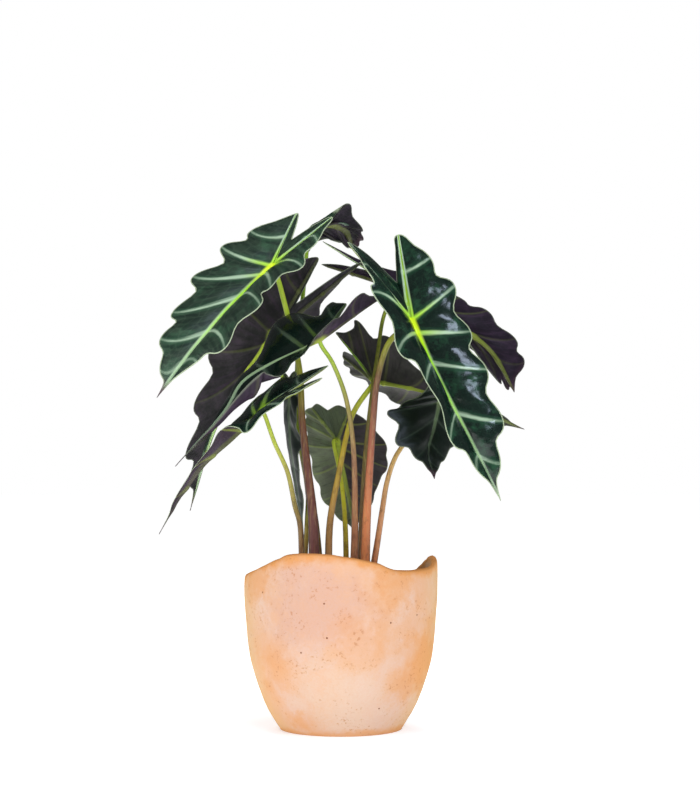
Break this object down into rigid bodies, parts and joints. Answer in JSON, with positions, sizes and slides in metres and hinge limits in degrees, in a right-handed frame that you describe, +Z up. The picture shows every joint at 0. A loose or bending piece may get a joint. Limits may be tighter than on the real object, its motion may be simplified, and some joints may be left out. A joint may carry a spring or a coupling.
{
  "type": "potted alocasia plant",
  "caption": "Potted alocasia: dark, quilted arrow-shaped leaves on slender upright stalks, growing from a handmade terracotta cup with a wavy rim. Stands on a shelf or table as a houseplant.",
  "frame": {"origin": "centre of the pot's flat base, on the surface it stands on", "axes": "+Z up, -Y towards the viewer of the picture, +X to that viewer's right"},
  "size_m": [0.2654, 0.1886, 0.3863],
  "materials": {
    "clay": "matte",
    "potting_mix": "matte",
    "leaf_blade": "satin",
    "leaf_stalk": "satin"
  },
  "bodies": {
    "root": {"pot": "clay", "soil": "potting_mix", "blade_upper_left": "leaf_blade", "blade_back_left": "leaf_blade", "blade_middle_left": "leaf_blade", "blade_lower_left": "leaf_blade", "blade_right_front": "leaf_blade", "blade_right_back": "leaf_blade", "blade_top_back": "leaf_blade", "blade_centre_right": "leaf_blade", "blade_centre_back": "leaf_blade", "blade_small_right": "leaf_blade", "blade_hanging": "leaf_blade", "stalk_upper_left": "leaf_stalk", "stalk_back_left": "leaf_stalk", "stalk_middle_left": "leaf_stalk", "stalk_lower_left": "leaf_stalk", "stalk_right_front": "leaf_stalk", "stalk_right_back": "leaf_stalk", "stalk_top_back": "leaf_stalk", "stalk_centre_right": "leaf_stalk", "stalk_centre_back": "leaf_stalk", "stalk_small_right": "leaf_stalk", "stalk_hanging": "leaf_stalk"}
  },
  "joints": []
}
